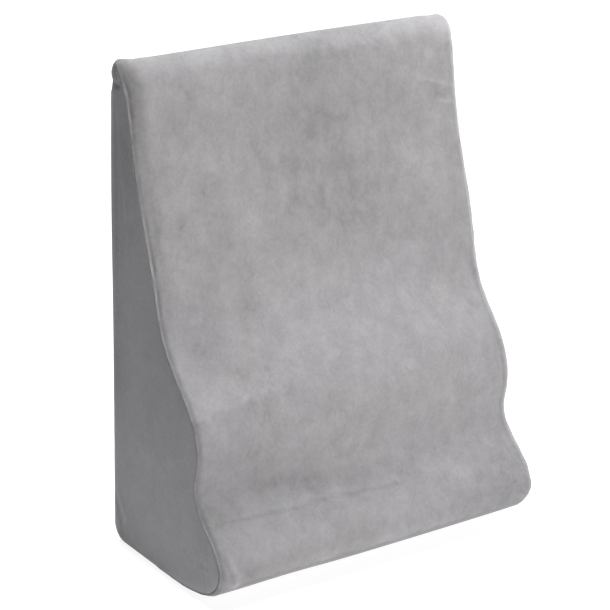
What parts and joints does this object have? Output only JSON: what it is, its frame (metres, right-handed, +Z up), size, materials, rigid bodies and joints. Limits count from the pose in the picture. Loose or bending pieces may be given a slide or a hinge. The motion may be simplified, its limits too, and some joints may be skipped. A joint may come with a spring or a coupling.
{
  "type": "bed wedge pillow",
  "caption": "Filled wedge pillow with a contoured back rest and a flat back, standing on its thick end, in a plush velour cover.",
  "frame": {"origin": "middle of the bounding box's bottom, on the surface that the thick end stands on", "axes": "+X across the width to the right side panel, +Y towards the flat back, -Y the way the back rest faces, +Z up to the thin top"},
  "size_m": [0.616, 0.321, 0.789],
  "materials": {
    "wrap_velour": "soft matt plush velour, light grey, with a brushed nap",
    "side_velour": "soft matt plush velour, light grey, cut in the other direction"
  },
  "bodies": {
    "root": {"wedge_body": "wrap_velour", "side_panel_left": "side_velour", "side_panel_right": "side_velour"}
  },
  "joints": []
}
